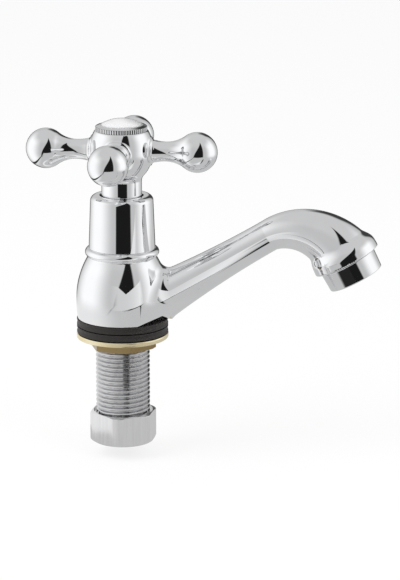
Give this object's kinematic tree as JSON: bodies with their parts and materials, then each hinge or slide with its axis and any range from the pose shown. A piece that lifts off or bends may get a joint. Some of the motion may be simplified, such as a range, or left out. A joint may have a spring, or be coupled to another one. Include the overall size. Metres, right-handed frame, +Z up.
{
  "type": "basin pillar tap",
  "caption": "Deck-mounted pillar tap with cross handle, long rising spout with down-turned aerator, and threaded tail with rubber washers, flanged backnut and coupling nut.",
  "frame": {"origin": "centre of the body's flat underside, where it stands on its rubber washer on the deck", "axes": "+Z up along the axis of the spindle and the tail, +X towards the spout's outlet, +Y to the left of someone facing the same way as the spout"},
  "size_m": [0.137, 0.0742, 0.1276],
  "materials": {
    "body_chrome": "bright chrome plate, polished to a mirror",
    "cover_chrome": "bright chrome plate, polished to a mirror",
    "handle_chrome": "bright chrome plate, polished to a mirror",
    "cap_chrome": "bright chrome plate over fine reeds",
    "aerator_chrome": "bright chrome plate",
    "tail_plating": "dull nickel and chrome plate over a cut thread",
    "nut_plating": "satin chrome plate",
    "backnut_brass": "bare turned brass, darker on the hexagon",
    "valve_brass": "bare machined brass",
    "washer_rubber": "matte black moulded rubber",
    "seal_rubber": "black rubber, greased",
    "seal_fibre": "pressed red fibre",
    "index_plastic": "pale glossy moulded plastic",
    "inner_plastic": "white moulded plastic",
    "small_steel": "plain stainless steel"
  },
  "bodies": {
    "tap": {"tap_body": "body_chrome", "threaded_shank": "tail_plating", "shank_seal": "seal_fibre", "upper_deck_washer": "washer_rubber", "headgear_body": "valve_brass", "headgear_seal": "seal_fibre", "shroud": "cover_chrome", "shroud_o_ring": "seal_rubber", "aerator_housing": "aerator_chrome", "aerator_washer": "seal_rubber", "aerator_screen": "small_steel", "aerator_insert": "inner_plastic"},
    "handle": {"cross_handle": "handle_chrome", "handle_screw": "small_steel", "handle_screw_washer": "small_steel", "index_cap": "cap_chrome", "index_disc": "index_plastic", "spindle": "valve_brass", "spindle_o_rings": "seal_rubber", "spindle_thrust_washer": "inner_plastic", "spindle_clip": "small_steel"},
    "jumper": {"jumper_carrier": "valve_brass", "jumper_washer": "seal_rubber", "jumper_nut": "valve_brass"},
    "deck_clamp": {"lower_deck_washer": "washer_rubber"},
    "backnut": {"flanged_backnut": "backnut_brass"},
    "tail_seal": {"tail_washer": "seal_rubber"},
    "coupling": {"coupling_nut": "nut_plating"}
  },
  "joints": [
    {"name": "handle_turn", "type": "hinge", "parent": "tap", "child": "handle", "pos_m": [0, 0, 0.0658], "axis": [0, 0, 1], "range_deg": [0, 420]},
    {"name": "jumper_lift", "type": "slide", "parent": "tap", "child": "jumper", "axis": [0, 0, 1], "range_m": [0, 0.0038]},
    {"name": "clamp_slide", "type": "slide", "parent": "tap", "child": "deck_clamp", "axis": [0, 0, 1], "range_m": [-0.0255, 0]},
    {"name": "backnut_turn", "type": "hinge", "parent": "deck_clamp", "child": "backnut", "pos_m": [0, 0, -0.0088], "axis": [0, 0, 1], "range_deg": [-5040, 0]},
    {"name": "tail_slide", "type": "slide", "parent": "tap", "child": "tail_seal", "axis": [0, 0, 1], "range_m": [-0.0055, 0]},
    {"name": "coupling_turn", "type": "hinge", "parent": "tail_seal", "child": "coupling", "pos_m": [0, 0, -0.0434], "axis": [0, 0, 1], "range_deg": [-1080, 0]}
  ],
  "couplings": [
    {"joint": "jumper_lift", "follows": "handle_turn", "m_per_rad": 0.0005093},
    {"joint": "clamp_slide", "follows": "backnut_turn", "m_per_rad": 0.00028871},
    {"joint": "tail_slide", "follows": "coupling_turn", "m_per_rad": 0.00028871}
  ]
}
